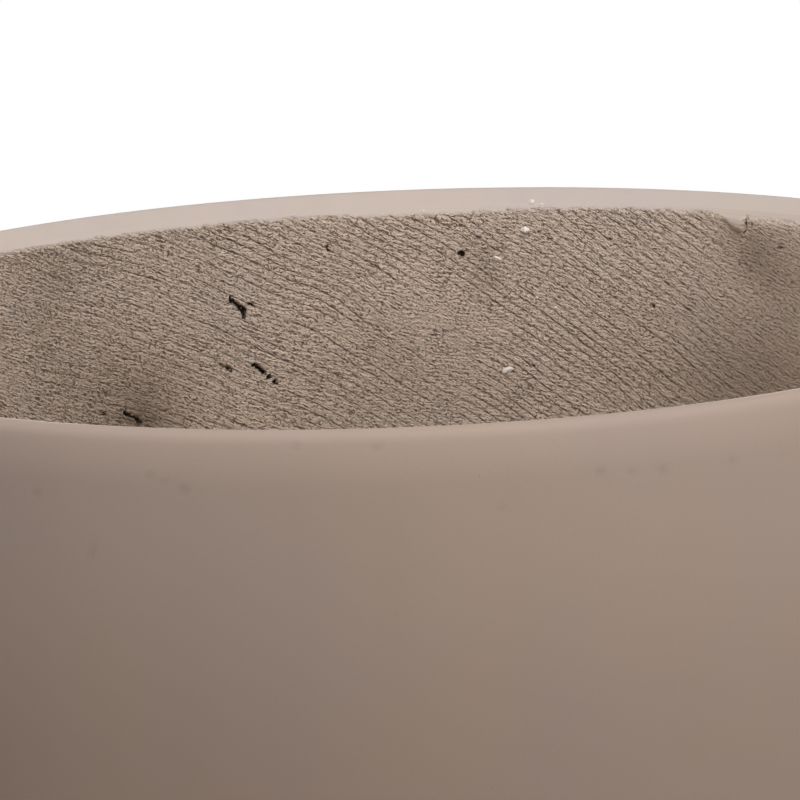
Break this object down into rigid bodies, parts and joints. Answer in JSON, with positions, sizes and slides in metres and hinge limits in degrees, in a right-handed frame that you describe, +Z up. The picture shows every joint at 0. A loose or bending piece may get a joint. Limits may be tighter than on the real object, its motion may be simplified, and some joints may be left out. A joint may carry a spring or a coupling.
{
  "type": "cement flower pot",
  "caption": "Round bellied cement floor planter with a bevelled lip, a rough hand-laid inside, a rubber drain plug and foam foot pads.",
  "frame": {"origin": "on the floor under the pot, on its axis, level with the undersides of the foam pads", "axes": "+Z up along the pot's axis, from the base to the mouth; the pads lie on the diagonals between X and Y"},
  "size_m": [0.38, 0.38, 0.33],
  "materials": {
    "cement_face": "smooth sanded taupe cement, matt",
    "cement_lining": "rough brushed taupe cement with sand grain",
    "plug_rubber": "moulded black rubber",
    "pad_foam": "closed-cell black foam"
  },
  "bodies": {
    "pot": {"face_shell": "cement_face", "inner_lining": "cement_lining", "foam_pad_1": "pad_foam", "foam_pad_2": "pad_foam", "foam_pad_3": "pad_foam", "foam_pad_4": "pad_foam"},
    "plug": {"drain_plug": "plug_rubber"}
  },
  "joints": [
    {"name": "plug_lift", "type": "slide", "parent": "pot", "child": "plug", "axis": [0, 0, 1], "range_m": [0, 0.34]}
  ]
}
